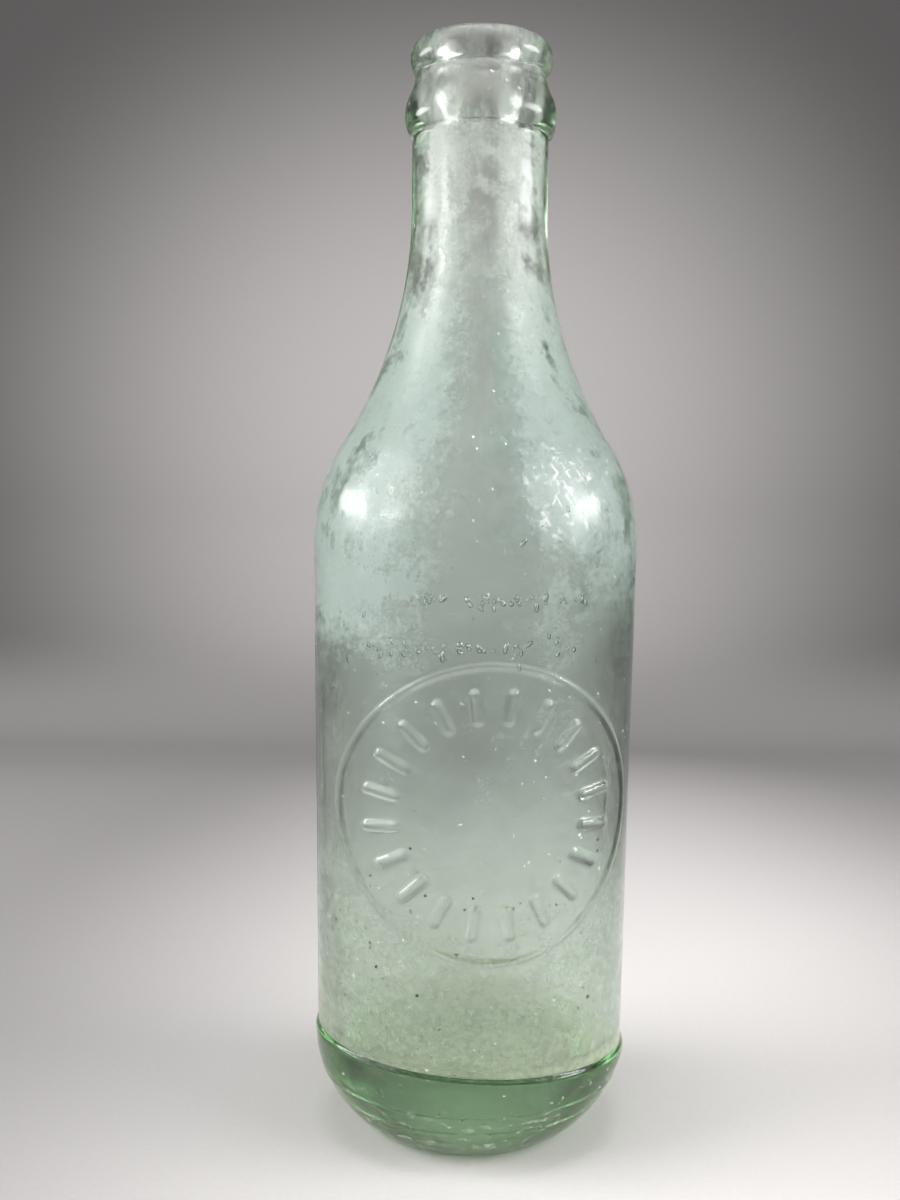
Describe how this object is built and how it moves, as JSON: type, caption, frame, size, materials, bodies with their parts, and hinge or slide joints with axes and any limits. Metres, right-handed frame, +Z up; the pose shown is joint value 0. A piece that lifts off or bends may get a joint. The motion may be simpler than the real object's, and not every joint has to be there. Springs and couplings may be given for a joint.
{
  "type": "soda bottle",
  "caption": "Pale green glass soda bottle with a crown-finish lip and collar, a swept neck, a slightly tapered round body with a raised round front plate, and a heavy rounded base.",
  "frame": {"origin": "centre of the base at the level of the bearing ring that the bottle stands on", "axes": "+Z up along the bottle's axis towards the mouth, -Y towards the front plate"},
  "size_m": [0.0612, 0.0615, 0.205],
  "materials": {
    "glass": "aged pale aqua-green blown glass, smooth outside with a thin milky haze"
  },
  "bodies": {
    "root": {"glass_bottle": "glass"}
  },
  "joints": []
}
